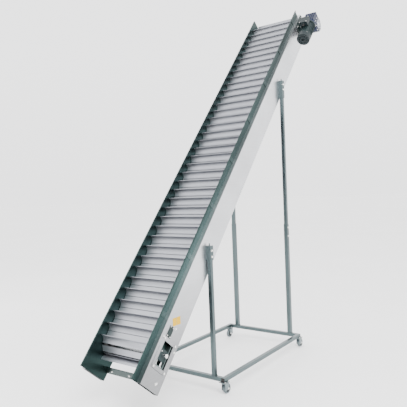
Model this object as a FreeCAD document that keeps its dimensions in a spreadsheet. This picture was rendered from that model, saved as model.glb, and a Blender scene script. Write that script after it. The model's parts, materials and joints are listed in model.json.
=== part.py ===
"""Mobile inclined slat conveyor: a steel slat belt with cross flights runs uphill between two
side frames on a wheeled stand, driven at the head by a shaft-mounted worm gearmotor.

Two working frames start at the tail end of the top flanges, on the centre plane. The inclined
frame has X across, Y along the belt, uphill, and Z square to the belt. The upright frame has
X across, Y level and Z up from the floor. Each sub-part is drawn in one of the two and is put in
place by its Placement. The document's origin is the centre of the whole box, on the floor.
"""
import FreeCAD, Part
import math
import os
import re
import Sketcher

V = FreeCAD.Vector
X_AXIS = V(1, 0, 0)
Y_AXIS = V(0, 1, 0)
SIDES = {"left": -1, "right": 1}
# Which way each caster trails as drawn: uphill (1) or downhill (-1).
TRAILS = {"front_left": 1, "front_right": 1, "rear_left": -1, "rear_right": 1}

# Driving sizes, in millimetres and degrees.
SIZES = {
    "incline": 49, "tail_height": 344, "frame_length": 4155, "frame_width": 584,
    "web_depth": 221, "web_wall": 4, "flange": 38,
    "guard_rise": 58, "guard_wall": 3, "guard_lip": 8,
    "strap_pitch": 500, "strap_width": 40, "strap_wall": 3,
    "cross_size": 30, "cross_wall": 2.5, "cross_count": 5,
    "chain_pitch": 50.8, "teeth": 8, "head_inset": 95, "tail_inset": 250, "belt_drop": 28,
    "slat_wall": 3, "slat_gap": 3, "side_gap": 4,
    "strand_margin": 26, "strand_inner": 11, "link_wall": 3, "link_height": 24,
    "roller_radius": 6, "roller_reach": 18, "strand_end_gap": 1, "wrap_gap": 5,
    "rail_gap": 0.5, "rail_wall": 4, "rail_width": 15, "rail_leg": 20, "rail_end_gap": 10,
    "tooth_radius": 68.5, "tooth_gap": 10, "sprocket_wall": 8, "hub_radius": 30, "hub_length": 30,
    "flight_height": 50, "flight_wall": 3, "flight_curve": 38, "flight_foot": 20, "foot_width": 4,
    "head_shaft": 17.5, "tail_shaft": 15, "shaft_stub": 24, "stub_radius": 15,
    "fit_gap": 0.05, "shaft_hole": 24,
    "bearing_size": 110, "bearing_plate": 12, "bearing_hub": 36, "bearing_length": 32,
    "window_length": 180, "window_depth": 115, "takeup_rim": 26, "takeup_wall": 6,
    "takeup_travel": 30, "slot_margin": 12, "block_size": 84, "block_wall": 28, "block_gap": 2,
    "guide_wall": 8, "guide_gap": 0.5, "anchor_wall": 10, "screw_radius": 8, "screw_gap": 0.5,
    "screw_reach": 66, "screw_spread": 56,
    "tail_plate_inset": 62, "tail_plate_lean": 26, "tail_plate_depth": 69, "tail_plate_wall": 4,
    "mount_wall": 8, "mount_below": 100, "mount_above": 88, "mount_edge": 8,
    "standoff_radius": 9, "standoff_spread": 84, "gear_standoff": 67,
    "gear_width": 116, "gear_radius": 76, "gear_half": 62, "gear_above": 50, "worm_offset": 63,
    "cover_radius": 48, "cover_wall": 8,
    "motor_flange": 23, "motor_length": 185, "motor_radius": 69, "motor_core": 61,
    "motor_bore": 40, "shield_wall": 14, "fin_count": 24, "fin_wall": 2.5,
    "cowl_length": 60, "cowl_radius": 67, "cowl_wall": 3, "vent_radius": 7, "vent_ring": 36,
    "vent_count": 10, "rotor_radius": 36, "rotor_shaft": 9, "rotor_gap": 6,
    "fan_radius": 54, "fan_disc": 4, "fan_depth": 24, "fan_hub": 15, "blade_count": 8,
    "blade_wall": 3, "terminal_length": 92, "terminal_width": 84, "terminal_height": 42,
    "tube_size": 32, "tube_wall": 2.5, "beam_height": 100, "base_span": 808,
    "front_beam": 828, "rear_beam": 2175, "front_post_top": 1172, "rear_post_top": 2672,
    "sleeve_size": 42, "sleeve_gap": 0.4, "front_sleeve": 110, "rear_sleeve": 165,
    "sleeve_cap": 4, "outer_post_size": 38, "outer_post_top": 1239, "inner_post_foot": 672,
    "caster_plate": 64, "caster_depth": 60, "caster_wall": 5, "swivel_gap": 0.5,
    "swivel_radius": 22, "swivel_height": 10, "kingpin": 7, "kingpin_drop": 15,
    "wheel_radius": 37.5, "wheel_width": 25, "wheel_trail": 32, "fork_wall": 3.5, "fork_gap": 2,
    "fork_back": 11, "fork_foot": 30, "axle": 5,
    "bolt_shank": 5, "bolt_head": 9, "bolt_height": 6,
    "label_width": 42, "label_height": 58, "label_wall": 1, "label_run": 497, "label_drop": 77,
    "label_step": 46,
}


def worked_out(size):
    """Sizes and places that follow from the driving sizes."""
    tilt = math.radians(size["incline"])
    half = size["frame_width"] / 2
    out = {"web_face": half, "sheet_face": half - size["flange"]}
    out["clear_half"] = out["sheet_face"] - size["guard_wall"]
    out["belt_half"] = out["clear_half"] - size["side_gap"]
    out["pitch_radius"] = size["chain_pitch"] / 2 / math.sin(math.pi / size["teeth"])
    out["half_link"] = size["link_height"] / 2
    out["strand_half"] = out["clear_half"] - size["strand_margin"]
    out["head_at"] = size["frame_length"] - size["head_inset"]
    # An odd number of links keeps a flight on every second slat all the way round.
    links = (out["head_at"] - size["tail_inset"]) / size["chain_pitch"]
    out["run_links"] = 2 * round((links - 1) / 2) + 1
    out["tail_at"] = out["head_at"] - out["run_links"] * size["chain_pitch"]
    out["slat_radius"] = out["pitch_radius"] + out["half_link"]
    out["belt_radius"] = out["slat_radius"] + size["slat_wall"]
    out["axis_drop"] = size["belt_drop"] + out["belt_radius"]
    out["worm_drop"] = out["axis_drop"] - size["worm_offset"]
    out["gear_inner"] = half + size["mount_wall"] + size["gear_standoff"]
    out["gear_outer"] = out["gear_inner"] + size["gear_width"]
    out["gear_mid"] = out["gear_inner"] + size["gear_width"] / 2
    out["drive_reach"] = out["gear_outer"] + size["cover_wall"]
    out["motor_at"] = out["head_at"] - size["gear_half"] - size["motor_flange"]
    out["motor_end"] = out["motor_at"] - size["motor_length"]
    out["post_at"] = half + size["sleeve_size"] / 2
    out["beam_half"] = size["base_span"] / 2
    out["beam_top"] = size["beam_height"] + size["tube_size"]
    out["caster_reach"] = out["beam_half"] + size["caster_plate"] / 2
    right_reach = max(out["drive_reach"], out["gear_mid"] + size["motor_radius"])
    out["origin_shift"] = (right_reach - out["caster_reach"]) / 2
    low = -size["guard_rise"] * math.sin(tilt)
    high = size["frame_length"] * math.cos(tilt) + size["web_depth"] * math.sin(tilt)
    out["origin_run"] = (low + high) / 2
    return out


doc = FreeCAD.newDocument("slat_conveyor")
sheet = doc.addObject("Spreadsheet::Sheet", "Sizes")
D = dict(SIZES)
D.update(worked_out(SIZES))
for row, (word, value) in enumerate(D.items(), start=1):
    sheet.set(f"A{row}", word)
    sheet.set(f"B{row}", repr(float(value)))
    sheet.setAlias(f"B{row}", word)
doc.recompute()

INCLINED = FreeCAD.Placement(V(-D["origin_shift"], -D["origin_run"], D["tail_height"]),
                             FreeCAD.Rotation(X_AXIS, D["incline"]))
UPRIGHT = FreeCAD.Placement(V(-D["origin_shift"], -D["origin_run"], 0), FreeCAD.Rotation())
TURNS = {"x": FreeCAD.Rotation(Y_AXIS, 90), "y": FreeCAD.Rotation(X_AXIS, -90),
         "z": FreeCAD.Rotation()}
nodes = {}


def cells(text):
    """An expression of sizes, with each name pointed at its cell."""
    return re.sub(r"[a-z][a-z_]+", lambda m: f"Sizes.{m[0]}" if m[0] in D else m[0], str(text))


def minus(text):
    return f"-({text})"


def across(sign, low, high):
    """A span in X from the centre plane outwards, on either side."""
    return (low, high) if sign > 0 else (minus(high), minus(low))


def about(centre, half):
    return f"({centre}) - ({half})", f"({centre}) + ({half})"


def box(x, y, z):
    """A block between three pairs of expressions."""
    item = doc.addObject("Part::Box", "Block")
    for size, place, (low, high) in zip(("Length", "Width", "Height"), "xyz", (x, y, z)):
        item.setExpression(size, cells(f"({high}) - ({low})"))
        item.setExpression(f"Placement.Base.{place}", cells(low))
    return item


def rod(axis, radius, span, centre):
    """A round bar along one axis; centre holds its place on the other two, in X, Y, Z order."""
    item = doc.addObject("Part::Cylinder", "Rod")
    item.Placement = FreeCAD.Placement(V(0, 0, 0), TURNS[axis])
    item.setExpression("Radius", cells(radius))
    item.setExpression("Height", cells(f"({span[1]}) - ({span[0]})"))
    place = list(centre)
    place.insert("xyz".index(axis), span[0])
    for letter, text in zip("xyz", place):
        item.setExpression(f"Placement.Base.{letter}", cells(text))
    return item


def fuse(*items):
    if len(items) == 1:
        return items[0]
    item = doc.addObject("Part::MultiFuse", "Union")
    item.Shapes = list(items)
    return item


def cut(base, *tools):
    item = doc.addObject("Part::Cut", "Cut")
    item.Base = base
    item.Tool = fuse(*tools)
    return item


def node(label, items, frame):
    """One sub-part: its solids, its Label and its Placement."""
    item = doc.addObject("Part::Compound", label)
    item.Label = label
    item.Links = list(items)
    item.Placement = frame
    nodes[label] = item


def section(name, outline, span):
    """A profile in X and Z, drawn in a sketch and padded along Y over the span."""
    body = doc.addObject("PartDesign::Body", name)
    sketch = body.newObject("Sketcher::SketchObject", name + "_sketch")
    plane = [item for item in body.Origin.OriginFeatures if item.Role == "XZ_Plane"][0]
    sketch.AttachmentSupport = [(plane, "")]
    sketch.MapMode = "FlatFace"
    count = len(outline)
    spots = [V(10 + 5 * math.cos(2 * math.pi * i / count), 10 + 5 * math.sin(2 * math.pi * i / count), 0)
             for i in range(count)]
    for i in range(count):
        sketch.addGeometry(Part.LineSegment(spots[i], spots[(i + 1) % count]), False)
    for i in range(count):
        sketch.addConstraint(Sketcher.Constraint("Coincident", i, 2, (i + 1) % count, 1))
    for i, point in enumerate(outline):
        for kind, text, value in zip(("DistanceX", "DistanceY"), point, spots[i]):
            index = sketch.addConstraint(Sketcher.Constraint(kind, -1, 1, i, 1, value))
            sketch.setExpression(f"Constraints[{index}]", cells(text))
    pad = body.newObject("PartDesign::Pad", name + "_pad")
    pad.Profile = sketch
    pad.Reversed = True
    pad.setExpression("Length", cells(f"({span[1]}) - ({span[0]})"))
    body.setExpression("Placement.Base.y", cells(span[0]))
    return body


def made(label, shape):
    """A shape worked out in code, as an object of the document."""
    item = doc.addObject("Part::Feature", label)
    item.Shape = shape
    return item


def repeated(source, places):
    """Copies of a bound object at the given placements, as separate solids."""
    doc.recompute()
    copies = []
    for place in places:
        copy = source.Shape.copy()
        copy.Placement = place.multiply(copy.Placement)
        copies.append(copy)
    return made("Copies", Part.makeCompound(copies))


def turned(angle, y, z):
    """A turn about a shaft axis across the conveyor, at Y and Z of the inclined frame."""
    return FreeCAD.Placement(V(0, 0, 0), FreeCAD.Rotation(X_AXIS, angle), V(0, y, z))


# Side frames

def side_channel(side, sign):
    outline = [("sheet_face", "0"), ("web_face", "0"), ("web_face", "-web_depth"),
               ("sheet_face", "-web_depth"), ("sheet_face", "web_wall - web_depth"),
               ("web_face - web_wall", "web_wall - web_depth"),
               ("web_face - web_wall", "-web_wall"), ("sheet_face", "-web_wall")]
    outline = [(f"{sign} * ({x})", z) for x, z in outline]
    channel = section(f"channel_{side}", outline, ("0", "frame_length"))
    web = across(sign, "web_face - 2 * web_wall", "web_face + web_wall")
    window = box(web, about("tail_at", "window_length / 2"), about("-axis_drop", "window_depth / 2"))
    shaft = rod("x", "shaft_hole", web, ("head_at", "-axis_drop"))
    node(f"side_channel_{side}", [cut(channel, window, shaft)], INCLINED)


def side_sheet(side, sign):
    wall = across(sign, "clear_half", "sheet_face")
    lip = across(sign, "clear_half", "sheet_face + guard_lip")
    run = ("0", "frame_length")
    panel = fuse(box(wall, run, ("-web_depth", "guard_rise")),
                 box(lip, run, ("guard_rise - guard_wall", "guard_rise")))
    through = across(sign, "clear_half - guard_wall", "sheet_face + guard_wall")
    slot_half = "tail_shaft + slot_margin"
    slot = box(through, (f"tail_at - takeup_travel - {slot_half.replace(' + ', ' - ')}",
                         f"tail_at + {slot_half}"), about("-axis_drop", slot_half))
    shaft = rod("x", "shaft_hole", through, ("head_at", "-axis_drop"))
    node(f"side_sheet_{side}", [cut(panel, slot, shaft)], INCLINED)


def guard_straps():
    count = int((D["frame_length"] - D["strap_width"]) // D["strap_pitch"])
    straps = []
    for sign in SIDES.values():
        for i in range(1, count + 1):
            run = about(f"{i} * strap_pitch", "strap_width / 2")
            straps.append(box(across(sign, "sheet_face", "sheet_face + strap_wall"), run,
                              ("0", "guard_rise - guard_wall")))
    node("guard_straps", straps, INCLINED)


def cross_members():
    bars = []
    count = int(D["cross_count"])
    for i in range(count):
        place = f"tail_at + (head_at - tail_at) * {i + 1} / {count + 1}"
        span = ("-clear_half", "clear_half")
        outer = box(span, about(place, "cross_size / 2"), about("-axis_drop", "cross_size / 2"))
        bore = "cross_size / 2 - cross_wall"
        inner = box(("-clear_half - 1", "clear_half + 1"), about(place, bore),
                    about("-axis_drop", bore))
        bars.append(cut(outer, inner))
    node("cross_members", bars, INCLINED)


def tail_cross_plate():
    """A plate across the tail, below the belt's turn, that leans uphill clear of the flights."""
    foot = V(-D["clear_half"], D["tail_plate_inset"], -D["web_depth"])
    lean = V(0, D["tail_plate_lean"], D["tail_plate_depth"])
    wall = V(0, D["tail_plate_wall"], 0)
    outline = [foot, foot + wall, foot + wall + lean, foot + lean, foot]
    plate = Part.Face(Part.makePolygon(outline)).extrude(V(2 * D["clear_half"], 0, 0))
    node("tail_cross_plate", [made("tail_plate", plate)], INCLINED)


def chain_rails(run, level, down):
    """Angle rails that the chain's outer rollers run on, one on each side sheet."""
    rails = []
    for side, sign in SIDES.items():
        top = f"{level} - roller_radius - rail_gap"
        foot = f"{top} - rail_wall"
        leg = f"{foot} - rail_leg" if down else f"{top} + rail_leg"
        inner = "clear_half - rail_width"
        web = "clear_half - rail_wall"
        outline = [(inner, top), (inner, foot), (web, foot), (web, leg), ("clear_half", leg),
                   ("clear_half", top)]
        if not down:
            outline = [(inner, foot), (inner, top), (web, top), (web, leg), ("clear_half", leg),
                       ("clear_half", foot)]
        outline = [(f"{sign} * ({x})", z) for x, z in outline]
        span = ("tail_at + rail_end_gap", "head_at - rail_end_gap")
        rails.append(section(f"rail_{run}_{side}", outline, span))
    node(f"chain_rails_{run}", rails, INCLINED)


# Belt

def wheel_blank(sign, y, radius):
    """A plain disc with its hub, about the shaft at Y."""
    disc = rod("x", radius, about(f"{sign} * strand_half", "sprocket_wall / 2"), (y, "-axis_drop"))
    hub = rod("x", "hub_radius", across(sign, "strand_half - hub_length", "strand_half"),
              (y, "-axis_drop"))
    return fuse(disc, hub)


def tail_wheel(sign):
    """A wheel without teeth, so that the take-up can move it under the rollers."""
    blank = wheel_blank(sign, "tail_at", "pitch_radius - roller_radius - rail_gap")
    bore = rod("x", "tail_shaft", across(sign, "strand_half - 2 * hub_length", "strand_half + hub_length"),
               ("tail_at", "-axis_drop"))
    return cut(blank, bore)


def head_sprocket(sign):
    blank = wheel_blank(sign, "head_at", "tooth_radius")
    doc.recompute()
    wheel = blank.Shape
    centre = V(sign * D["strand_half"], D["head_at"], -D["axis_drop"])
    reach = D["sprocket_wall"]
    seat = Part.makeCylinder(D["tooth_gap"], 2 * reach, centre + V(-reach, 0, D["pitch_radius"]), X_AXIS)
    slot = Part.makeBox(2 * reach, 2 * D["tooth_gap"], D["tooth_radius"],
                        centre + V(-reach, -D["tooth_gap"], D["pitch_radius"]))
    gap = seat.fuse(slot)
    step = 360 / D["teeth"]
    for i in range(int(D["teeth"])):
        tool = gap.copy()
        tool.rotate(centre, X_AXIS, step * (i + 0.5))
        wheel = wheel.cut(tool)
    bore = Part.makeCylinder(D["head_shaft"], 4 * D["hub_length"],
                             centre - V(2 * D["hub_length"], 0, 0), X_AXIS)
    return made("sprocket", wheel.cut(bore).removeSplitter())


def strand_run(sign, level):
    """One straight chain strand: two link plates and a roller at every joint, as one solid."""
    mid = sign * D["strand_half"]
    start = D["tail_at"] + D["strand_end_gap"]
    length = D["head_at"] - D["strand_end_gap"] - start
    inner = D["strand_inner"] / 2
    plates = [Part.makeBox(D["link_wall"], length, D["link_height"],
                           V(mid + offset, start, level - D["half_link"]))
              for offset in (-inner - D["link_wall"], inner)]
    low = -inner - D["link_wall"] if sign > 0 else -D["roller_reach"]
    span = D["roller_reach"] + inner + D["link_wall"]
    joints = int(D["run_links"])
    rollers = [Part.makeCylinder(D["roller_radius"], span,
                                 V(mid + low, D["tail_at"] + D["chain_pitch"] * (i + 0.5), level), X_AXIS)
               for i in range(joints)]
    return made("strand", plates[0].multiFuse(plates[1:] + rollers))


def strand_wrap(sign, y, turn):
    """The chain around half a sprocket: two curved plates and their rollers, as one solid."""
    mid = sign * D["strand_half"]
    inner = D["strand_inner"] / 2
    centre = V(mid, y, -D["axis_drop"])
    sweep = 180 - 2 * D["wrap_gap"]
    shapes = []
    for offset in (-inner - D["link_wall"], inner):
        base = centre + V(offset, 0, 0)
        ring = Part.makeCylinder(D["slat_radius"], D["link_wall"], base, X_AXIS, sweep)
        hole = Part.makeCylinder(D["pitch_radius"] - D["half_link"], D["link_wall"], base, X_AXIS)
        shapes.append(ring.cut(hole).Solids[0])
    low = -inner - D["link_wall"] if sign > 0 else -D["roller_reach"]
    span = D["roller_reach"] + inner + D["link_wall"]
    step = 360 / D["teeth"]
    flat = start_angle(shapes[0], centre)
    for shape in shapes:
        shape.rotate(centre, X_AXIS, D["wrap_gap"] - flat)
    for i in range(int(D["teeth"] / 2)):
        roller = Part.makeCylinder(D["roller_radius"], span,
                                   centre + V(low, 0, D["pitch_radius"]), X_AXIS)
        roller.rotate(centre, X_AXIS, step * (i + 0.5))
        shapes.append(roller)
    strand = shapes[0].multiFuse(shapes[1:])
    if turn < 0:
        strand.rotate(centre, X_AXIS, 180)
    return made("wrap", strand)


def start_angle(sector, centre):
    """The angle from +Z, towards -Y, at which a ring sector starts."""
    mass = sector.CenterOfMass - centre
    middle = math.degrees(math.atan2(-mass.y, mass.z))
    return middle - (180 - 2 * D["wrap_gap"]) / 2


def wrap_places(y, turn):
    """Placements that carry a piece from the top of a shaft around its sprocket."""
    step = 360 / D["teeth"]
    return [turned(turn * step * i, D[y], -D["axis_drop"]) for i in range(1, int(D["teeth"] / 2))]


def run_places(first, pitch_step):
    """Placements along the upper run, counted in links from the head shaft."""
    return [FreeCAD.Placement(V(0, -D["chain_pitch"] * i, 0), FreeCAD.Rotation())
            for i in range(first, int(D["run_links"]) + 1, pitch_step)]


def belt_pieces(kind, source, first, step, head_turns, tail_turns):
    """One kind of belt piece on the upper run, the lower run and around both shafts."""
    upper = run_places(first, step)
    middle = (D["head_at"] + D["tail_at"]) / 2
    flip = turned(180, middle, -D["axis_drop"])
    to_tail = FreeCAD.Placement(V(0, D["tail_at"] - D["head_at"], 0), FreeCAD.Rotation())
    head = [wrap_places("head_at", -1)[i] for i in head_turns]
    tail = [wrap_places("tail_at", 1)[i].multiply(to_tail) for i in tail_turns]
    last = int(D["run_links"])
    lower_first = (last - first) % step
    lower = [flip.multiply(place) for place in run_places(lower_first, step)]
    for name, places in (("upper", upper), ("lower", lower), ("head", head), ("tail", tail)):
        node(f"{kind}_{name}", [repeated(source, places)], INCLINED)


def slat():
    run = about("head_at", "(chain_pitch - slat_gap) / 2")
    return box(("-belt_half", "belt_half"), run, ("-belt_drop - slat_wall", "-belt_drop"))


def flight():
    """A bent plate: a flat foot, then a curve that rises to an edge on the uphill side."""
    span = 2 * D["belt_half"]
    outer = D["flight_curve"] + D["flight_wall"]
    centre = V(-D["belt_half"], D["head_at"] - D["flight_foot"], outer - D["belt_drop"])
    rise = math.degrees(math.asin((D["flight_height"] - outer) / outer))
    curve = Part.makeCylinder(outer, span, centre, X_AXIS, 90 + rise)
    curve = curve.cut(Part.makeCylinder(D["flight_curve"], span, centre, X_AXIS)).Solids[0]
    mass = curve.CenterOfMass - centre
    middle = math.degrees(math.atan2(mass.z, mass.y))
    curve.rotate(centre, X_AXIS, (rise - 90) / 2 - middle)
    foot = Part.makeBox(span, D["foot_width"], D["flight_wall"],
                        V(-D["belt_half"], centre.y - D["foot_width"], -D["belt_drop"]))
    return made("flight", curve.fuse(foot).removeSplitter())


def belt():
    upper = D["pitch_radius"] - D["axis_drop"]
    lower = -D["pitch_radius"] - D["axis_drop"]
    signs = list(SIDES.values())
    node("chain_upper", [strand_run(sign, upper) for sign in signs], INCLINED)
    node("chain_lower", [strand_run(sign, lower) for sign in signs], INCLINED)
    node("chain_head", [strand_wrap(sign, D["head_at"], -1) for sign in signs], INCLINED)
    node("chain_tail", [strand_wrap(sign, D["tail_at"], 1) for sign in signs], INCLINED)
    belt_pieces("slats", slat(), 0, 1, (0, 1, 2), (0, 1, 2))
    belt_pieces("flights", flight(), 1, 2, (0, 2), (1,))
    node("head_sprockets", [head_sprocket(sign) for sign in signs], INCLINED)
    node("tail_wheels", [tail_wheel(sign) for sign in signs], INCLINED)


# Shafts, bearings and take-up

def shafts():
    axis = ("head_at", "-axis_drop")
    end = "-web_face - bearing_length"
    head = rod("x", "head_shaft", (end, "drive_reach"), axis)
    stub = rod("x", "stub_radius", (f"{end} - shaft_stub", f"{end} + shaft_stub"), axis)
    node("head_shaft", [fuse(head, stub)], INCLINED)
    reach = "web_face + takeup_wall + shaft_stub"
    tail = rod("x", "tail_shaft", (minus(reach), reach), ("tail_at", "-axis_drop"))
    node("tail_shaft", [tail], INCLINED)


def head_bearings():
    units = []
    for sign in SIDES.values():
        face = "web_face" if sign < 0 else "web_face + mount_wall"
        plate = box(across(sign, face, f"{face} + bearing_plate"),
                    about("head_at", "bearing_size / 2"), about("-axis_drop", "bearing_size / 2"))
        hub = rod("x", "bearing_hub", across(sign, face, f"{face} + bearing_length"),
                  ("head_at", "-axis_drop"))
        bore = rod("x", "head_shaft + fit_gap", across(sign, f"{face} - 1", f"{face} + bearing_length + 1"),
                   ("head_at", "-axis_drop"))
        holes = [bore]
        corners = ((1, 1), (1, -1), (-1, 1), (-1, -1)) if sign > 0 else ()
        for along, up in corners:
            place = (f"head_at + {along} * standoff_spread / 2",
                     f"-axis_drop + {up} * standoff_spread / 2")
            holes.append(rod("x", "standoff_radius + screw_gap",
                             (f"{face} - 1", f"{face} + bearing_plate + 1"), place))
        units.append(cut(fuse(plate, hub), *holes))
    node("head_bearings", units, INCLINED)


def takeup(side, sign):
    low = "sheet_face + block_gap"
    span = across(sign, low, f"{low} + block_wall")
    body = box(span, about("tail_at", "block_size / 2"), about("-axis_drop", "block_size / 2"))
    bore = rod("x", "tail_shaft + fit_gap", across(sign, "sheet_face", "web_face"),
               ("tail_at", "-axis_drop"))
    node(f"takeup_block_{side}", [cut(body, bore)], INCLINED)


def takeup_frames():
    plates, anchors, screws = [], [], []
    for sign in SIDES.values():
        face = across(sign, "web_face", "web_face + takeup_wall")
        plate = box(face, about("tail_at", "window_length / 2 + takeup_rim"),
                    about("-axis_drop", "window_depth / 2 + takeup_rim"))
        window = box(across(sign, "web_face - 1", "web_face + takeup_wall + 1"),
                     about("tail_at", "window_length / 2"), about("-axis_drop", "window_depth / 2"))
        plates.append(cut(plate, window))
        hollow = across(sign, "sheet_face", "web_face - web_wall")
        for turn in (1, -1):
            edge = f"-axis_drop + {turn} * (block_size / 2 + guide_gap + guide_wall / 2)"
            anchors.append(box(hollow, about("tail_at", "window_length / 2"),
                               about(edge, "guide_wall / 2")))
        start = "tail_at - window_length / 2"
        anchor = box(hollow, (start, f"{start} + anchor_wall"), about("-axis_drop", "block_size / 2"))
        middle = f"{sign} * (sheet_face + block_gap + block_wall / 2)"
        holes = []
        for turn in (1, -1):
            level = f"-axis_drop + {turn} * screw_spread / 2"
            holes.append(rod("y", "screw_radius + screw_gap",
                             (f"{start} - 1", f"{start} + anchor_wall + 1"), (middle, level)))
            end = "tail_at - block_size / 2"
            screws.append(rod("y", "screw_radius", (f"{end} - screw_reach", end), (middle, level)))
        anchors.append(cut(anchor, *holes))
    node("takeup_plates", plates, INCLINED)
    node("takeup_guides", anchors, INCLINED)
    node("takeup_screws", screws, INCLINED)


# Drive

def drive_mount():
    plate = box(("web_face", "web_face + mount_wall"), ("head_at - mount_below", "head_at + mount_above"),
                ("mount_edge - web_depth", "-mount_edge"))
    legs = []
    for along in (1, -1):
        for up in (1, -1):
            legs.append(rod("x", "standoff_radius", ("web_face + mount_wall - 1", "gear_inner"),
                            (f"head_at + {along} * standoff_spread / 2",
                             f"-axis_drop + {up} * standoff_spread / 2")))
    hole = rod("x", "shaft_hole", ("web_face - 1", "web_face + mount_wall + 1"), ("head_at", "-axis_drop"))
    node("drive_mount", [cut(fuse(plate, *legs), hole)], INCLINED)


def gearbox():
    span = ("gear_inner", "gear_outer")
    round_part = rod("x", "gear_radius", span, ("head_at", "-axis_drop"))
    worm_part = box(span, about("head_at", "gear_half"), ("-axis_drop", "gear_above - worm_drop"))
    flange = rod("y", "motor_radius", ("motor_at", "head_at"), ("gear_mid", "-worm_drop"))
    bore = rod("x", "head_shaft + fit_gap", ("gear_inner - 1", "gear_outer + 1"), ("head_at", "-axis_drop"))
    input_bore = rod("y", "rotor_shaft + fit_gap", ("motor_at - 1", "head_at - gear_half"),
                     ("gear_mid", "-worm_drop"))
    case = fuse(cut(flange, box(("0", "gear_outer * 2"), ("head_at - gear_half", "head_at + gear_half"),
                                ("-web_depth * 2", "web_depth"))), round_part, worm_part)
    node("gearbox_housing", [cut(case, bore, input_bore)], INCLINED)
    cover = rod("x", "cover_radius", ("gear_outer", "drive_reach"), ("head_at", "-axis_drop"))
    opening = rod("x", "head_shaft + fit_gap", ("gear_outer - 1", "drive_reach + 1"),
                  ("head_at", "-axis_drop"))
    node("gearbox_cover", [cut(cover, opening)], INCLINED)


def motor():
    axis = ("gear_mid", "-worm_drop")
    span = ("motor_end", "motor_at")
    core = rod("y", "motor_core", span, axis)
    ends = [rod("y", "cowl_radius", ("motor_end", "motor_end + shield_wall"), axis),
            rod("y", "motor_radius", ("motor_at - shield_wall", "motor_at"), axis)]
    doc.recompute()
    centre = V(D["gear_mid"], 0, -D["worm_drop"])
    fins = []
    height = D["motor_radius"] - D["motor_core"] + 2
    for i in range(int(D["fin_count"])):
        corner = V(centre.x - D["fin_wall"] / 2, D["motor_end"], centre.z + D["motor_core"] - 2)
        fin = Part.makeBox(D["fin_wall"], D["motor_length"] - D["shield_wall"], height, corner)
        fin.rotate(centre, Y_AXIS, 360 / D["fin_count"] * i)
        fins.append(fin)
    shell = fuse(core, made("fins", fins[0].multiFuse(fins[1:])), *ends)
    cavity = rod("y", "motor_bore", ("motor_end + shield_wall", "motor_at - shield_wall"), axis)
    journal = rod("y", "rotor_shaft + fit_gap", ("motor_end - 1", "motor_at + 1"), axis)
    node("motor_body", [cut(shell, cavity, journal)], INCLINED)
    lid = box(about("gear_mid", "terminal_width / 2"),
              ("motor_at - shield_wall - terminal_length", "motor_at - shield_wall"),
              ("motor_radius - worm_drop", "motor_radius - worm_drop + terminal_height"))
    node("terminal_box", [lid], INCLINED)


def motor_fan():
    axis = ("gear_mid", "-worm_drop")
    back = "motor_end - cowl_length"
    cowl = rod("y", "cowl_radius", (back, "motor_end"), axis)
    inside = rod("y", "cowl_radius - cowl_wall", (f"{back} + cowl_wall", "motor_end + 1"), axis)
    centre = V(D["gear_mid"], D["motor_end"] - D["cowl_length"], -D["worm_drop"])
    vents = []
    for i in range(int(D["vent_count"])):
        vent = Part.makeCylinder(D["vent_radius"], 3 * D["cowl_wall"],
                                 centre + V(0, -D["cowl_wall"], D["vent_ring"]), Y_AXIS)
        vent.rotate(centre, Y_AXIS, 360 / D["vent_count"] * i)
        vents.append(vent)
    node("fan_cowl", [cut(cowl, inside, made("vents", Part.makeCompound(vents)))], INCLINED)
    start = "motor_end - fan_depth - rotor_gap"
    hub = rod("y", "fan_hub", (start, "motor_end - rotor_gap"), axis)
    disc = rod("y", "fan_radius", ("motor_end - rotor_gap - fan_disc", "motor_end - rotor_gap"), axis)
    base = V(D["gear_mid"], D["motor_end"] - D["rotor_gap"] - D["fan_depth"], -D["worm_drop"])
    blades = []
    for i in range(int(D["blade_count"])):
        blade = Part.makeBox(D["blade_wall"], D["fan_depth"], D["fan_radius"] - D["fan_hub"],
                             base + V(-D["blade_wall"] / 2, 0, D["fan_hub"] - 1))
        blade.rotate(base, Y_AXIS, 360 / D["blade_count"] * i)
        blades.append(blade)
    fan = fuse(hub, disc, made("blades", Part.makeCompound(blades)))
    bore = rod("y", "rotor_shaft", (f"{start} - 1", "motor_end + 1"), axis)
    node("motor_fan", [cut(fan, bore)], INCLINED)
    shaft = rod("y", "rotor_shaft", (f"{start} - 2", "motor_at + motor_flange - 2"), axis)
    rotor = rod("y", "rotor_radius",
                ("motor_end + shield_wall + rotor_gap", "motor_at - shield_wall - rotor_gap"), axis)
    node("motor_rotor", [fuse(shaft, rotor)], INCLINED)


# Stand

def tube(x, y, z, along, size="tube_size"):
    """A square tube: the outer block less its bore, open at both ends."""
    spans = [x, y, z]
    bores = []
    for i, (low, high) in enumerate(spans):
        if i == along:
            bores.append((f"({low}) - 1", f"({high}) + 1"))
        else:
            bores.append((f"({low}) + tube_wall", f"({high}) - tube_wall"))
    return cut(box(*spans), box(*bores))


def base_frame():
    level = ("beam_height", "beam_top")
    half = "tube_size / 2"
    for end in ("front", "rear"):
        reach = f"beam_half - {half}"
        beam = tube((minus(reach), reach), about(f"{end}_beam", half), level, 0)
        node(f"base_beam_{end}", [beam], UPRIGHT)
    for side, sign in SIDES.items():
        run = (f"front_beam - {half}", f"rear_beam + {half}")
        node(f"base_beam_{side}", [tube(about(f"{sign} * beam_half", half), run, level, 1)], UPRIGHT)


def posts():
    half = "tube_size / 2"
    outer = "outer_post_size / 2"
    sleeves = []
    for side, sign in SIDES.items():
        x = about(f"{sign} * post_at", half)
        front = tube(x, about("front_beam", half), ("beam_top", "front_post_top"), 2)
        node(f"post_front_{side}", [front], UPRIGHT)
        rear = tube(x, about("rear_beam", half), ("inner_post_foot", "rear_post_top"), 2)
        node(f"post_rear_{side}", [rear], UPRIGHT)
        sleeves.append(tube(about(f"{sign} * post_at", outer), about("rear_beam", outer),
                            ("beam_top", "outer_post_top"), 2))
    node("rear_post_tubes", sleeves, UPRIGHT)


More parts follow.
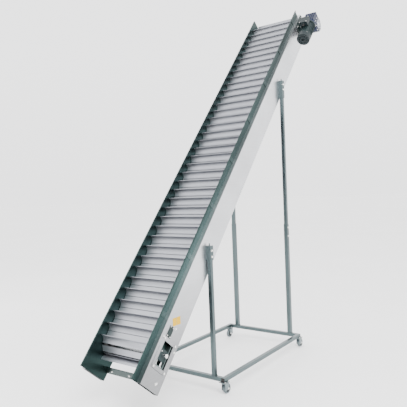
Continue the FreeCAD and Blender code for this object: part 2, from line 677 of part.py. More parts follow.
def post_sleeves():
    """Caps that slide over the posts and are welded to the webs' outer faces."""
    caps = []
    for end in ("front", "rear"):
        for sign in SIDES.values():
            x = f"{sign} * post_at"
            top = f"{end}_post_top"
            outer = box(about(x, "sleeve_size / 2"), about(f"{end}_beam", "sleeve_size / 2"),
                        (f"{top} - {end}_sleeve", f"{top} + sleeve_cap"))
            bore = "tube_size / 2 + sleeve_gap"
            inner = box(about(x, bore), about(f"{end}_beam", bore), (f"{top} - {end}_sleeve - 1", top))
            stud = rod("z", "bolt_shank", (f"{top} + sleeve_cap - 1", f"{top} + 6 * sleeve_cap"),
                       (x, f"{end}_beam"))
            caps.append(cut(fuse(outer, stud), inner))
    node("post_sleeves", caps, UPRIGHT)


def casters():
    plates = []
    for end in ("front", "rear"):
        for side, sign in SIDES.items():
            x = f"{sign} * beam_half"
            y = f"{end}_beam"
            plate = box(about(x, "caster_plate / 2"), about(y, "caster_depth / 2"),
                        ("beam_height - caster_wall", "beam_height"))
            pin = rod("z", "kingpin", ("beam_height - caster_wall - kingpin_drop", "beam_height - 1"),
                      (x, y))
            plates.append(fuse(plate, pin))
            caster(f"{end}_{side}", x, y, TRAILS[f"{end}_{side}"])
    node("caster_plates", plates, UPRIGHT)


def caster(name, x, y, turn):
    top = "beam_height - caster_wall - swivel_gap"
    crown = f"{top} - swivel_height"
    axle_at = (f"{y} + {turn} * wheel_trail", "wheel_radius")
    inner = "wheel_width / 2 + fork_gap"
    outer = f"{inner} + fork_wall"
    run = about(f"{y} + {turn} * wheel_trail / 2", "wheel_trail / 2 + fork_back")
    race = rod("z", "swivel_radius", (crown, top), (x, y))
    head = box(about(x, outer), run, (f"{crown} - fork_wall", crown))
    legs = [box((f"{x} + {low}", f"{x} + {high}"), run, ("fork_foot", crown))
            for low, high in ((inner, outer), (minus(outer), minus(inner)))]
    pivot = rod("z", "kingpin + fit_gap", (f"{crown} - 2 * fork_wall", f"{top} + 1"), (x, y))
    holes = rod("x", "axle", about(x, f"{outer} + 1"), axle_at)
    fork = cut(fuse(race, head, *legs), pivot, holes)
    axle = rod("x", "axle", about(x, outer), axle_at)
    node(f"caster_fork_{name}", [fork, axle], UPRIGHT)
    tyre = rod("x", "wheel_radius", about(x, "wheel_width / 2"), axle_at)
    bore = rod("x", "axle + fit_gap", about(x, "wheel_width"), axle_at)
    node(f"caster_wheel_{name}", [cut(tyre, bore)], UPRIGHT)


# Small fittings

def web_bolts():
    """Hexagon heads on the webs: take-up frames, drive plate and the splice rows."""
    bolts = []
    takeup_y = D["window_length"] / 2 + D["takeup_rim"] / 2
    takeup_z = D["window_depth"] / 2 + D["takeup_rim"] / 2
    face = D["web_face"] + D["takeup_wall"]
    spots = []
    for sign in SIDES.values():
        for along in (1, -1):
            for up in (1, -1):
                spots.append((sign, face, D["tail_at"] + along * takeup_y, up * takeup_z - D["axis_drop"]))
        spots.append((sign, D["web_face"], D["tail_plate_inset"], -D["web_depth"] + D["tail_plate_depth"]))
    plate = D["web_face"] + D["mount_wall"]
    inset = 2 * D["mount_edge"]
    for y in (D["head_at"] - D["mount_below"] + inset, D["head_at"] + D["mount_above"] - inset):
        for z in (-2 * inset, 2 * inset - D["web_depth"]):
            spots.append((1, plate, y, z))
    for sign, x, y, z in spots:
        bolts.append(hex_head(V(sign * x, y, z), V(sign, 0, 0)))
    node("web_bolts", [made("bolts", Part.makeCompound(bolts))], INCLINED)


def hex_head(base, direction):
    corner = V(D["bolt_head"], 0, 0)
    ring = [FreeCAD.Rotation(V(0, 0, 1), 60 * i).multVec(corner) for i in range(7)]
    head = Part.Face(Part.makePolygon(ring)).extrude(V(0, 0, D["bolt_height"]))
    head.Placement = FreeCAD.Placement(base, FreeCAD.Rotation(V(0, 0, 1), direction))
    return head


def label_plates():
    """Two plain plates on the right web, level with the floor."""
    tilt = math.radians(D["incline"])
    plates = []
    for i in range(2):
        y = D["label_run"] + i * D["label_step"] * math.cos(tilt)
        z = -D["label_drop"] - i * D["label_step"] * math.sin(tilt)
        level_y = y * math.cos(tilt) - z * math.sin(tilt)
        level_z = y * math.sin(tilt) + z * math.cos(tilt) + D["tail_height"]
        width, height = D["label_width"], D["label_height"]
        corner = V(D["web_face"], level_y - width / 2, level_z - height / 2)
        plates.append(Part.makeBox(D["label_wall"], width, height, corner))
    node("label_plates", [made("plates", Part.makeCompound(plates))], UPRIGHT)


def build():
    for side, sign in SIDES.items():
        side_channel(side, sign)
        side_sheet(side, sign)
        takeup(side, sign)
    guard_straps()
    cross_members()
    tail_cross_plate()
    chain_rails("upper", "(pitch_radius - axis_drop)", True)
    chain_rails("lower", "(-pitch_radius - axis_drop)", False)
    belt()
    shafts()
    head_bearings()
    takeup_frames()
    drive_mount()
    gearbox()
    motor()
    motor_fan()
    base_frame()
    posts()
    post_sleeves()
    casters()
    web_bolts()
    label_plates()


def check_and_write():
    doc.recompute()
    for item in doc.Objects:
        if "Invalid" in item.State or "Error" in item.State:
            raise RuntimeError(f"{item.Label} did not build: {item.State}")
    os.makedirs("parts", exist_ok=True)
    for label, item in nodes.items():
        if item.Shape.isNull() or not item.Shape.isValid():
            raise RuntimeError(f"{label} has no valid shape")
        item.Shape.exportStep(f"parts/{label}.step")
    print(len(nodes), "sub-parts written")


build()
check_and_write()
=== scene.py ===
"""Looks for the inclined slat conveyor: materials, small fittings, floor, light and camera."""
import json
import math

import bmesh
import bpy
from mathutils import Matrix, Vector


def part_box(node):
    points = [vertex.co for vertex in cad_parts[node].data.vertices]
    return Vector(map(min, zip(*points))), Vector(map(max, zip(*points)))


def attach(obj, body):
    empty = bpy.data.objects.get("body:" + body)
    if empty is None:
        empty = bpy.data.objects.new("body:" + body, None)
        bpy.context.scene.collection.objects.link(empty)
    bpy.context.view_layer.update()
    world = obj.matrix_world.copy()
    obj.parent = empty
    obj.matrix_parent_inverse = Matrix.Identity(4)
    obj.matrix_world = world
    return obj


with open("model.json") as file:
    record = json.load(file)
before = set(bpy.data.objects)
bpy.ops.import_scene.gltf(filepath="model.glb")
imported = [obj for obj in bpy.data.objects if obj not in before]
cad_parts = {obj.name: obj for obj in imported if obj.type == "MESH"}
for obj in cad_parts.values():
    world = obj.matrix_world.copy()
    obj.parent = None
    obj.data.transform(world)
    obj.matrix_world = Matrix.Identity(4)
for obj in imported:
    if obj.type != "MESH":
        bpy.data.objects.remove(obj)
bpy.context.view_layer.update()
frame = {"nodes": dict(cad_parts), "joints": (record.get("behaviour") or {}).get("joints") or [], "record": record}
nodes = frame["nodes"]
joints = {joint["name"]: joint for joint in frame["joints"]}

# The belt's own directions and the two shafts, from the joints.
UPHILL = Vector(joints["upper_travel"]["axis"]).normalized()
ACROSS = Vector((1, 0, 0))
SQUARE = ACROSS.cross(UPHILL)
TAIL = Vector(joints["tail_turn"]["pos_m"])
HEAD = Vector(joints["head_turn"]["pos_m"])
WORM = Vector(joints["rotor_turn"]["pos_m"])
INCLINE = math.atan2(UPHILL.z, UPHILL.y)
BELT_ROTATION = Matrix((ACROSS, UPHILL, SQUARE)).transposed().to_4x4()
MID_X = TAIL.x
WEB_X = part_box("side_channel_right")[1].x - MID_X
SHEET_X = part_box("side_channel_right")[0].x - MID_X


def on_belt(x, along, up, origin=TAIL):
    """A point from a shaft axis: across from the centre plane, uphill and square to the belt."""
    return origin + ACROSS * x + UPHILL * along + SQUARE * up


# Materials

def new_material(name):
    material = bpy.data.materials.new(name)
    material.use_nodes = True
    tree = material.node_tree
    shader = tree.nodes["Principled BSDF"]
    return material, tree, shader


def texture_space(tree, scale, tilt=0.0):
    """Object coordinates turned about X and stretched, so that grain can run along a part."""
    coords = tree.nodes.new("ShaderNodeTexCoord")
    mapping = tree.nodes.new("ShaderNodeMapping")
    mapping.inputs["Scale"].default_value = scale
    mapping.inputs["Rotation"].default_value = (-tilt, 0, 0)
    tree.links.new(coords.outputs["Object"], mapping.inputs["Vector"])
    return mapping.outputs["Vector"]


def noise(tree, vector, scale, detail=4.0, roughness=0.5):
    node = tree.nodes.new("ShaderNodeTexNoise")
    node.inputs["Scale"].default_value = scale
    node.inputs["Detail"].default_value = detail
    node.inputs["Roughness"].default_value = roughness
    tree.links.new(vector, node.inputs["Vector"])
    return node.outputs["Fac"]


def ramp(tree, value, stops):
    node = tree.nodes.new("ShaderNodeValToRGB")
    elements = node.color_ramp.elements
    elements[0].position, elements[0].color = stops[0][0], (*stops[0][1], 1)
    elements[1].position, elements[1].color = stops[-1][0], (*stops[-1][1], 1)
    for place, color in stops[1:-1]:
        elements.new(place).color = (*color, 1)
    tree.links.new(value, node.inputs["Fac"])
    return node.outputs["Color"]


def spread(tree, value, low, high):
    node = tree.nodes.new("ShaderNodeMapRange")
    node.inputs["To Min"].default_value = low
    node.inputs["To Max"].default_value = high
    tree.links.new(value, node.inputs["Value"])
    return node.outputs["Result"]


def bump(tree, shader, value, strength, distance):
    node = tree.nodes.new("ShaderNodeBump")
    node.inputs["Strength"].default_value = strength
    node.inputs["Distance"].default_value = distance
    tree.links.new(value, node.inputs["Height"])
    tree.links.new(node.outputs["Normal"], shader.inputs["Normal"])


def shade(color, factor):
    return tuple(min(1.0, channel * factor) for channel in color)


def metal(name, color, rough=(0.25, 0.45), grain=(40, 600, 600), tilt=INCLINE, contrast=0.12,
          blotch=2.5, relief=0.02, metallic=1.0, low_shade=1.0):
    """Sheet or bar metal: fine grain one way, cloudy tone, uneven polish; painted shade darkens the low end, by
    the last argument's factor below 0.45 m, blending out by 1 m.
    """
    material, tree, shader = new_material(name)
    fine = noise(tree, texture_space(tree, grain, tilt), 1.0, 3.0, 0.6)
    cloud = noise(tree, texture_space(tree, (1, 1, 1), tilt), blotch, 5.0, 0.55)
    dark, light = shade(color, 1 - contrast), shade(color, 1 + contrast)
    tone = ramp(tree, cloud, [(0.3, dark), (0.55, color), (0.75, light)])
    grain_tone = ramp(tree, fine, [(0.35, (0.90, 0.90, 0.90)), (0.65, (1, 1, 1))])
    mix = tree.nodes.new("ShaderNodeMix")
    mix.data_type = "RGBA"
    mix.blend_type = "MULTIPLY"
    mix.inputs["Factor"].default_value = 1.0
    tree.links.new(tone, mix.inputs["A"])
    tree.links.new(grain_tone, mix.inputs["B"])
    # Painted shade on the low end: the colour is darkened below 1 m, fully below 0.45 m.
    split = tree.nodes.new("ShaderNodeSeparateXYZ")
    tree.links.new(texture_space(tree, (1, 1, 1)), split.inputs["Vector"])
    height = ramp(tree, split.outputs["Z"], [(0.0, (low_shade,) * 3), (0.45, (low_shade,) * 3), (1.0, (1, 1, 1))])
    low_shade_mix = tree.nodes.new("ShaderNodeMix")
    low_shade_mix.data_type = "RGBA"
    low_shade_mix.blend_type = "MULTIPLY"
    low_shade_mix.inputs["Factor"].default_value = 1.0
    tree.links.new(mix.outputs["Result"], low_shade_mix.inputs["A"])
    tree.links.new(height, low_shade_mix.inputs["B"])
    tree.links.new(low_shade_mix.outputs["Result"], shader.inputs["Base Color"])
    tree.links.new(spread(tree, cloud, *rough), shader.inputs["Roughness"])
    shader.inputs["Metallic"].default_value = metallic
    bump(tree, shader, fine, relief, 0.002)
    return material


def paint(name, color, rough=(0.35, 0.5), relief=0.05, contrast=0.15, coat=0.0):
    """Sprayed paint: slight orange peel and a little dust in the tone."""
    material, tree, shader = new_material(name)
    space = texture_space(tree, (1, 1, 1))
    cloud = noise(tree, space, 9.0, 6.0, 0.6)
    peel = noise(tree, space, 420.0, 2.0)
    tone = ramp(tree, cloud, [(0.3, shade(color, 1 - contrast)), (0.7, shade(color, 1 + contrast))])
    tree.links.new(tone, shader.inputs["Base Color"])
    tree.links.new(spread(tree, cloud, *rough), shader.inputs["Roughness"])
    shader.inputs["Coat Weight"].default_value = coat
    shader.inputs["Specular IOR Level"].default_value = 0.22
    bump(tree, shader, peel, relief, 0.001)
    return material


def rubber(name, color):
    material, tree, shader = new_material(name)
    space = texture_space(tree, (1, 1, 1))
    cloud = noise(tree, space, 40.0, 5.0)
    speck = noise(tree, space, 900.0, 2.0)
    tone = ramp(tree, cloud, [(0.3, shade(color, 0.8)), (0.7, shade(color, 1.15))])
    tree.links.new(tone, shader.inputs["Base Color"])
    tree.links.new(spread(tree, cloud, 0.55, 0.8), shader.inputs["Roughness"])
    bump(tree, shader, speck, 0.15, 0.0008)
    return material


MATERIALS = {
    "belt_steel": metal("belt_steel", (0.36, 0.37, 0.40), (0.36, 0.52), (12, 500, 500), contrast=0.08),
    "chain_steel": metal("chain_steel", (0.20, 0.20, 0.20), (0.35, 0.6), (300, 300, 300)),
    # Painted shade: the web darkens towards its low end.
    "web_steel": metal("web_steel", (0.66, 0.67, 0.69), (0.24, 0.38), (500, 6, 500),
                       contrast=0.10, low_shade=0.42),
    # Painted shade: the sheets' near-black tone stands in for the shade and dark reflections on them; the steel
    # itself is a lighter grey.
    "sheet_steel": metal("sheet_steel", (0.026, 0.048, 0.046), (0.28, 0.44), (500, 8, 500),
                         contrast=0.16),
    "strap_steel": metal("strap_steel", (0.040, 0.064, 0.062), (0.28, 0.45), (300, 300, 300),
                         contrast=0.2),
    "rail_steel": metal("rail_steel", (0.12, 0.15, 0.15), (0.4, 0.6), (500, 8, 500)),
    "shaft_steel": metal("shaft_steel", (0.66, 0.67, 0.68), (0.18, 0.3), (900, 60, 60)),
    "bearing_iron": paint("bearing_iron", (0.014, 0.026, 0.027), (0.45, 0.65), 0.2),
    "mount_paint": paint("mount_paint", (0.010, 0.020, 0.019)),
    "gearbox_paint": paint("gearbox_paint", (0.003, 0.008, 0.030), (0.3, 0.42), 0.12),
    "cover_alloy": metal("cover_alloy", (0.30, 0.32, 0.36), (0.25, 0.4), (60, 300, 300)),
    "motor_paint": paint("motor_paint", (0.009, 0.018, 0.019), (0.38, 0.5), 0.1),
    "cowl_black": paint("cowl_black", (0.008, 0.014, 0.016), (0.35, 0.5)),
    "fan_plastic": paint("fan_plastic", (0.02, 0.02, 0.02), (0.5, 0.6)),
    "rotor_steel": metal("rotor_steel", (0.5, 0.5, 0.5)),
    "tube_steel": metal("tube_steel", (0.095, 0.125, 0.13), (0.22, 0.38), (60, 60, 4), 0.0, 0.14),
    "caster_zinc": metal("caster_zinc", (0.20, 0.24, 0.25), (0.22, 0.42), (60, 60, 60), 0.0, 0.25, 30.0),
    "wheel_rubber": rubber("wheel_rubber", (0.10, 0.13, 0.14)),
    "bolt_zinc": metal("bolt_zinc", (0.80, 0.80, 0.78), (0.16, 0.3), (200, 200, 200), 0.0, 0.15, 60.0),
    "label_yellow": paint("label_yellow", (0.58, 0.34, 0.0005), (0.4, 0.5), 0.02, 0.04),
}


def finish_nodes():
    """Gives every carried-over node the material of its slot."""
    slots = {entry["node"]: entry["material_slot"] for entry in frame["record"]["subparts"]}
    for name, item in nodes.items():
        item.data.materials.clear()
        item.data.materials.append(MATERIALS[slots[name]])


# Small pieces

def piece(name, bm, slot, body="frame"):
    """A mesh that rides on a body and takes a slot's finish."""
    mesh = bpy.data.meshes.new(name)
    bm.normal_update()
    bm.to_mesh(mesh)
    bm.free()
    item = bpy.data.objects.new(name, mesh)
    bpy.context.scene.collection.objects.link(item)
    mesh.materials.append(MATERIALS[slot])
    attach(item, body)
    return item


def basis(center, direction):
    """A frame at a point whose Z runs along a direction."""
    return Matrix.Translation(center) @ direction.to_track_quat("Z", "Y").to_matrix().to_4x4()


def add_ring(bm, place, profile, sides):
    """A closed body of revolution from (radius, height) pairs about a frame's Z."""
    rings = []
    for radius, height in profile:
        ring = []
        for i in range(sides):
            angle = 2 * math.pi * i / sides
            corner = Vector((radius * math.cos(angle), radius * math.sin(angle), height))
            ring.append(bm.verts.new(place @ corner))
        rings.append(ring)
    for low, high in zip(rings, rings[1:]):
        for i in range(sides):
            j = (i + 1) % sides
            bm.faces.new((low[i], low[j], high[j], high[i]))
    bm.faces.new(list(reversed(rings[0])))
    bm.faces.new(rings[-1])


def add_hex_bolt(bm, center, direction, size=0.010):
    """A washer, a chamfered hexagon head and the end of the thread."""
    place = basis(center, direction)
    add_ring(bm, place, [(size * 1.15, 0), (size * 1.15, size * 0.16)], 24)
    turned = place @ Matrix.Rotation(0.3, 4, "Z")
    add_ring(bm, turned, [(size, size * 0.16), (size, size * 0.62), (size * 0.86, size * 0.74)], 6)
    thread = size * 0.5
    add_ring(bm, place, [(thread, size * 0.74), (thread, size * 0.95), (size * 0.4, size * 1.05)], 16)


def add_block(bm, place, size, bevel=0.0):
    """A box with softened edges in a frame, its centre at the frame's origin."""
    made = bmesh.ops.create_cube(bm, size=1.0, matrix=place @ Matrix.Diagonal((*size, 1)))
    if bevel > 0:
        edges = list({edge for vert in made["verts"] for edge in vert.link_edges})
        bmesh.ops.bevel(bm, geom=edges, offset=bevel, segments=3, affect="EDGES", profile=0.5)


def bolts(name, spots, body="frame", size=0.010, slot="bolt_zinc"):
    bm = bmesh.new()
    for center, direction in spots:
        add_hex_bolt(bm, center, direction, size)
    return piece(name, bm, slot, body)


finish_nodes()

# Sizes in metres that the small fittings follow.
FLANGE_UP = 0.109373
PITCH = 0.0508
TUBE = 0.032
HALF_TUBE = TUBE / 2
BEARING_PLATE = 0.012
MOUNT_WALL = 0.008
STUD_REACH = 0.042
MOTOR_LENGTH = 0.185
AXLE_HEIGHT = 0.0375
AXLE_TRAIL = 0.032
FRONT_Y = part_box("base_beam_front")[0].y + HALF_TUBE
REAR_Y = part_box("base_beam_rear")[0].y + HALF_TUBE
BEAM_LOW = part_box("base_beam_front")[0].z
BEAM_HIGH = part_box("base_beam_front")[1].z
BEAM_MID = (BEAM_LOW + BEAM_HIGH) / 2
BEAM_X = 0.404
POST_X = 0.313
SIDES = {"left": -1, "right": 1}
# Which way each caster trails: uphill (1) or downhill (-1).
TRAILS = {"front_left": 1, "front_right": 1, "rear_left": -1, "rear_right": 1}
CORNERS = [(i, j) for i in (-1, 1) for j in (-1, 1)]
DOWNHILL = -UPHILL
UP = Vector((0, 0, 1))


def on_web(x, along, up):
    """A point given from the tail end of the top flange."""
    return on_belt(x, along - 0.250, up + FLANGE_UP)


def around(center, radius, angle):
    """A point on a circle about an axis that runs across the belt."""
    return center + UPHILL * radius * math.cos(angle) + SQUARE * radius * math.sin(angle)


def add_disc(bm, center, direction, radius, height, sides=32, edge=0.0008):
    place = basis(center, direction)
    add_ring(bm, place, [(radius, 0), (radius, height - edge), (radius - edge, height)], sides)


def add_nut(bm, place, inner, outer, height):
    """A hexagon nut with a bore wide enough to let its screw slide."""
    loops = []
    for radius, level in ((inner, 0), (outer, 0), (outer, height), (inner, height)):
        loops.append([bm.verts.new(place @ Vector((radius * math.cos(math.pi * i / 3),
                                                   radius * math.sin(math.pi * i / 3), level)))
                      for i in range(6)])
    for low, high in zip(loops, loops[1:] + loops[:1]):
        for i in range(6):
            j = (i + 1) % 6
            bm.faces.new((low[i], low[j], high[j], high[i]))


def tail_fittings():
    """Bolts, the inspection plate and the take-up's nuts and threads on both webs."""
    spots = []
    for sign in SIDES.values():
        out = ACROSS * sign
        for along, up in ((0.314, -0.200), (0.461, -0.119), (0.360, -0.026), (0.055, -0.147)):
            spots.append((on_web(sign * WEB_X, along, up), out))
        bm = bmesh.new()
        center = on_web(sign * (WEB_X + 0.0015), 0.416, -0.074)
        add_block(bm, Matrix.Translation(center) @ BELT_ROTATION, (0.003, 0.084, 0.048), 0.001)
        piece(f"inspection_plate_{'left' if sign < 0 else 'right'}", bm, "mount_paint")
        screws = [(on_web(sign * (WEB_X + 0.003), 0.416 + i * 0.034, -0.074 + j * 0.017), out)
                  for i in (-1, 1) for j in (-1, 1)]
        bolts(f"inspection_screws_{'left' if sign < 0 else 'right'}", screws, size=0.0042)
    bolts("tail_web_bolts", spots, size=0.009)
    nuts = bmesh.new()
    threads = bmesh.new()
    for sign in SIDES.values():
        x = sign * (SHEET_X + 0.016)
        for turn in (-1, 1):
            add_nut(nuts, basis(on_belt(x, -0.080, turn * 0.028), UPHILL), 0.0100, 0.0145, 0.006)
            add_nut(nuts, basis(on_belt(x, -0.090, turn * 0.028), DOWNHILL), 0.0100, 0.0145, 0.009)
            profile = []
            for i in range(13):
                profile += [(0.0080, i * 0.002), (0.0083, i * 0.002 + 0.001)]
            add_ring(threads, basis(on_belt(x, -0.069, turn * 0.028), UPHILL), profile, 20)
    piece("takeup_nuts", nuts, "bolt_zinc")
    piece("takeup_threads", threads, "shaft_steel", "takeup")
    ends = bmesh.new()
    for sign in SIDES.values():
        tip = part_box("tail_shaft")[1].x if sign > 0 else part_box("tail_shaft")[0].x
        center = Vector((tip, TAIL.y, TAIL.z))
        profile = [(0.0145, -0.0005), (0.0135, 0.0008), (0.004, 0.0008)]
        add_ring(ends, basis(center, ACROSS * sign), profile, 32)
    piece("tail_shaft_ends", ends, "bolt_zinc", "tail_drum")
    nipples = bmesh.new()
    for sign in SIDES.values():
        place = basis(on_belt(sign * (SHEET_X + 0.030), 0.022, 0.028), ACROSS * sign)
        profile = [(0.005, 0), (0.005, 0.002), (0.003, 0.003), (0.003, 0.006), (0.0015, 0.007)]
        add_ring(nipples, place, profile, 16)
    piece("takeup_grease_nipples", nipples, "bolt_zinc", "takeup")
    normal = (DOWNHILL * 0.069 + SQUARE * 0.026).normalized()
    plate_bolts = [(on_web(x, 0.0745, -0.1866), normal) for x in (-0.18, 0.0, 0.18)]
    bolts("tail_plate_bolts", plate_bolts, size=0.008)


def belt_rivets():
    """Two low rivets at each end of every slat of the carrying run."""
    bm = bmesh.new()
    for i in range(74):
        along = PITCH * (i + 0.5)
        for sign in SIDES.values():
            for shift in (0.0, 0.014):
                center = on_belt(sign * (0.224 - shift), along + 0.006, FLANGE_UP - 0.028)
                add_ring(bm, basis(center, SQUARE), [(0.0042, 0), (0.0036, 0.0008), (0.0018, 0.0013)], 10)
    piece("slat_rivets", bm, "belt_steel", "upper_run")


def head_fittings():
    left = [(HEAD - ACROSS * (WEB_X + BEARING_PLATE) + UPHILL * i * STUD_REACH
             + SQUARE * j * STUD_REACH, -ACROSS) for i, j in CORNERS]
    bolts("head_bearing_bolts", left, size=0.0085)
    nuts = bmesh.new()
    face = WEB_X + MOUNT_WALL + BEARING_PLATE
    for i, j in CORNERS:
        center = HEAD + ACROSS * face + UPHILL * i * STUD_REACH + SQUARE * j * STUD_REACH
        profile = [(0.015, 0), (0.016, 0.001), (0.016, 0.010), (0.015, 0.011)]
        add_ring(nuts, basis(center, ACROSS), profile, 6)
    piece("stud_nuts", nuts, "bolt_zinc")
    nipples = bmesh.new()
    for sign in SIDES.values():
        face = WEB_X + (0.028 if sign < 0 else 0.036)
        center = HEAD + ACROSS * sign * (face - 0.004) + SQUARE * 0.0355
        profile = [(0.005, 0), (0.005, 0.003), (0.003, 0.004), (0.003, 0.008), (0.0015, 0.009)]
        add_ring(nipples, basis(center, SQUARE), profile, 16)
    piece("bearing_nipples", nipples, "bolt_zinc")


def gearbox_fittings():
    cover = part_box("gearbox_cover")[1].x - MID_X
    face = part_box("gearbox_cover")[0].x - MID_X
    middle = face - 0.058
    spots = [(around(HEAD + ACROSS * face, 0.063, math.radians(22.5 + 45 * i)), ACROSS)
             for i in range(8)]
    bolts("gearbox_bolts", spots, size=0.006)
    bm = bmesh.new()
    for i in range(6):
        center = around(HEAD + ACROSS * cover, 0.037, math.radians(60 * i))
        add_disc(bm, center, ACROSS, 0.0045, 0.002, 20)
    piece("cover_screws", bm, "bolt_zinc")
    ribs = bmesh.new()
    for i in range(-2, 3):
        center = HEAD + ACROSS * (middle + i * 0.022) + SQUARE * 0.1145
        add_block(ribs, Matrix.Translation(center) @ BELT_ROTATION, (0.004, 0.104, 0.005), 0.0012)
    for sign in (-1, 1):
        center = HEAD + ACROSS * (middle + sign * 0.046) + UPHILL * 0.0635 + SQUARE * 0.065
        add_block(ribs, Matrix.Translation(center) @ BELT_ROTATION, (0.006, 0.005, 0.085), 0.0012)
    piece("gearbox_ribs", ribs, "gearbox_paint")
    plugs = [(HEAD + ACROSS * middle + UPHILL * 0.062 + SQUARE * 0.075, UPHILL),
             (HEAD + ACROSS * (middle + 0.03) + UPHILL * 0.062 + SQUARE * 0.035, UPHILL)]
    bolts("gearbox_plugs", plugs, size=0.007)
    flange = []
    for i in range(4):
        angle = math.radians(45 + 90 * i)
        out = ACROSS * math.cos(angle) + SQUARE * math.sin(angle)
        flange.append((WORM + UPHILL * MOTOR_LENGTH + out * 0.060, DOWNHILL))
    bolts("motor_flange_bolts", flange, size=0.006)


def motor_fittings():
    low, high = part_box("terminal_box")
    center = (low + high) / 2
    bm = bmesh.new()
    lid = center + SQUARE * 0.0235
    add_block(bm, Matrix.Translation(lid) @ BELT_ROTATION, (0.088, 0.096, 0.007), 0.002)
    piece("terminal_lid", bm, "cowl_black")
    screws = [(lid + ACROSS * i * 0.037 + UPHILL * j * 0.041 + SQUARE * 0.0035, SQUARE)
              for i, j in CORNERS]
    bolts("terminal_screws", screws, size=0.0035)
    gland = bmesh.new()
    place = basis(center - UPHILL * 0.046 - SQUARE * 0.004, DOWNHILL)
    profile = [(0.012, 0), (0.012, 0.005), (0.010, 0.005), (0.010, 0.018), (0.0075, 0.022)]
    add_ring(gland, place, profile, 8)
    piece("cable_gland", gland, "fan_plastic")
    plate = bmesh.new()
    place = Matrix.Translation(center - ACROSS * 0.0425) @ BELT_ROTATION
    add_block(plate, place, (0.0015, 0.055, 0.026), 0.0005)
    piece("motor_plate", plate, "cover_alloy")
    spots = []
    for i in range(4):
        angle = math.radians(45 + 90 * i)
        out = ACROSS * math.cos(angle) + SQUARE * math.sin(angle)
        spots.append((WORM - UPHILL * 0.008 + out * 0.0665, out))
    bolts("cowl_screws", [spot for spot in spots if spot[1].dot(ACROSS) < 0.9], size=0.003)
    bm = bmesh.new()
    center = WORM - UPHILL * 0.060
    for i in range(1, 3):
        radius = 0.018 * i
        place = basis(center, DOWNHILL)
        add_ring(bm, place, [(radius, 0), (radius, 0.0015), (radius - 0.003, 0.002)], 40)
    piece("cowl_rings", bm, "cowl_black")


def weld_beads(bm, x, y, z, half, size=0.005):
    """A rounded fillet all round a square tube's foot."""
    reach = 2 * half + size
    for sign in (-1, 1):
        across_place = Matrix.Translation((x, y + sign * (half + size / 4), z + size / 4))
        along_place = Matrix.Translation((x + sign * (half + size / 4), y, z + size / 4))
        add_block(bm, across_place, (reach, size, size), size * 0.35)
        add_block(bm, along_place, (size, reach, size), size * 0.35)


def stand_fittings():
    beads = bmesh.new()
    caps = bmesh.new()
    clamps = []
    for sign in SIDES.values():
        weld_beads(beads, MID_X + sign * POST_X, FRONT_Y, BEAM_HIGH, HALF_TUBE)
        weld_beads(beads, MID_X + sign * POST_X, REAR_Y, BEAM_HIGH, 0.019)
        x = MID_X + sign * BEAM_X
        for y, turn in ((FRONT_Y, -1), (REAR_Y, 1)):
            center = Vector((x, y + turn * 0.0175, BEAM_MID))
            add_block(caps, Matrix.Translation(center), (0.031, 0.004, 0.031), 0.0012)
            inner = x - sign * HALF_TUBE
            for face in (-1, 1):
                corner = Matrix.Translation((inner, y + face * 0.0165, BEAM_MID))
                add_block(beads, corner, (0.004, 0.004, TUBE), 0.0013)
        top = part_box("rear_post_tubes")[1].z
        for drop in (0.035, 0.120):
            clamps.append((Vector((MID_X + sign * (POST_X + 0.019), REAR_Y, top - drop)), ACROSS * sign))
        for end, y in (("front", FRONT_Y), ("rear", REAR_Y)):
            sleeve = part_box(f"post_{end}_{'left' if sign < 0 else 'right'}")[1].z
            for drop in (0.035, 0.085):
                spot = Vector((MID_X + sign * (POST_X + 0.021), y, sleeve - drop))
                clamps.append((spot, ACROSS * sign))
    piece("weld_beads", beads, "tube_steel")
    piece("tube_caps", caps, "fan_plastic")
    bolts("post_clamp_bolts", clamps, size=0.009)


def caster_fittings():
    for name, turn in TRAILS.items():
        end, side = name.split("_")
        x = MID_X + SIDES[side] * BEAM_X
        y = FRONT_Y if end == "front" else REAR_Y
        axle = Vector((x, y + turn * AXLE_TRAIL, AXLE_HEIGHT))
        hubs = bmesh.new()
        nuts = bmesh.new()
        for sign in (-1, 1):
            out = ACROSS * sign
            profile = [(0.029, -0.0005), (0.028, 0.0006), (0.012, 0.0014)]
            add_ring(hubs, basis(axle + out * 0.0125, out), profile, 40)
            profile = [(0.009, 0), (0.009, 0.004), (0.008, 0.005)]
            add_ring(nuts, basis(axle + out * 0.018, out), profile, 6)
        piece(f"caster_hubs_{name}", hubs, "fan_plastic", f"wheel_{name}")
        piece(f"caster_nuts_{name}", nuts, "bolt_zinc", f"swivel_{name}")
        race = bmesh.new()
        top = BEAM_LOW - 0.0055
        place = basis(Vector((x, y, top - 0.010)), UP)
        profile = [(0.022, 0.0005), (0.0245, 0.003), (0.0245, 0.007), (0.022, 0.0095)]
        add_ring(race, place, profile, 40)
        piece(f"caster_race_{name}", race, "caster_zinc", f"swivel_{name}")
        plate = [(Vector((x + i * 0.0245, y + j * 0.021, BEAM_LOW)), UP) for i, j in CORNERS]
        bolts(f"caster_plate_bolts_{name}", plate, size=0.0055)


tail_fittings()
belt_rivets()
head_fittings()
gearbox_fittings()
motor_fittings()
stand_fittings()
caster_fittings()

# Stage

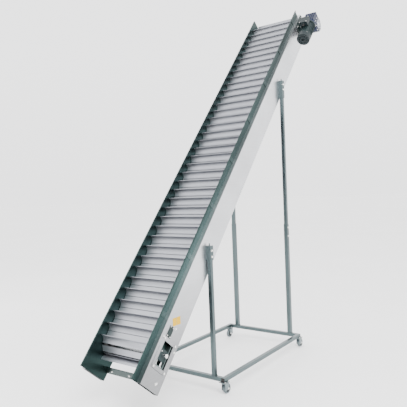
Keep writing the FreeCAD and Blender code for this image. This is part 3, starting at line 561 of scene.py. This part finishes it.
def stage():
    bm = bmesh.new()
    bmesh.ops.create_grid(bm, x_segments=1, y_segments=1, size=60)
    mesh = bpy.data.meshes.new("floor")
    bm.to_mesh(mesh)
    bm.free()
    floor = bpy.data.objects.new("floor", mesh)
    bpy.context.scene.collection.objects.link(floor)
    material, tree, shader = new_material("floor")
    cloud = noise(tree, texture_space(tree, (1, 1, 1)), 0.6, 3.0)
    tone = ramp(tree, cloud, [(0.3, (0.90, 0.90, 0.90)), (0.7, (0.93, 0.93, 0.93))])
    tree.links.new(tone, shader.inputs["Base Color"])
    shader.inputs["Roughness"].default_value = 0.6
    floor.data.materials.append(material)


def world_light():
    world = bpy.data.worlds.new("studio")
    bpy.context.scene.world = world
    world.use_nodes = True
    tree = world.node_tree
    coords = tree.nodes.new("ShaderNodeTexCoord")
    split = tree.nodes.new("ShaderNodeSeparateXYZ")
    tree.links.new(coords.outputs["Generated"], split.inputs["Vector"])
    stops = [(0.0, (0.90, 0.90, 0.91)), (0.25, (0.98, 0.98, 0.99)), (1.0, (1, 1, 1))]
    sky = ramp(tree, split.outputs["Z"], stops)
    tree.links.new(sky, tree.nodes["Background"].inputs["Color"])
    tree.nodes["Background"].inputs["Strength"].default_value = 2.9


def area_light(name, place, target, size, power):
    light = bpy.data.lights.new(name, "AREA")
    light.shape = "SQUARE"
    light.size = size
    light.energy = power
    item = bpy.data.objects.new(name, light)
    bpy.context.scene.collection.objects.link(item)
    item.location = place
    item.rotation_euler = (Vector(target) - Vector(place)).to_track_quat("-Z", "Y").to_euler()


def camera():
    """Eye height and distance from the tail end, as the object is seen."""
    lens = bpy.data.cameras.new("camera")
    lens.lens = CAMERA_LENS
    item = bpy.data.objects.new("camera", lens)
    bpy.context.scene.collection.objects.link(item)
    turn = Matrix.Rotation(CAMERA_YAW, 4, "Z") @ Matrix.Rotation(math.pi / 2 + CAMERA_PITCH, 4, "X")
    item.matrix_world = Matrix.Translation(CAMERA_PLACE) @ turn @ Matrix.Rotation(CAMERA_ROLL, 4, "Z")
    bpy.context.scene.camera = item


CAMERA_LENS = 44.62
CAMERA_YAW = math.radians(36.06)
CAMERA_PITCH = math.radians(-1.757)
CAMERA_ROLL = math.radians(-2.29)
CAMERA_PLACE = Vector((2.6109, -3.8489, 1.6362))

stage()
world_light()
area_light("key", (4.5, -3.5, 6.5), (0, 0, 1.5), 4.0, 650)
area_light("fill", (-5.5, -2.0, 3.5), (0, 0, 1.5), 4.0, 120)
camera()
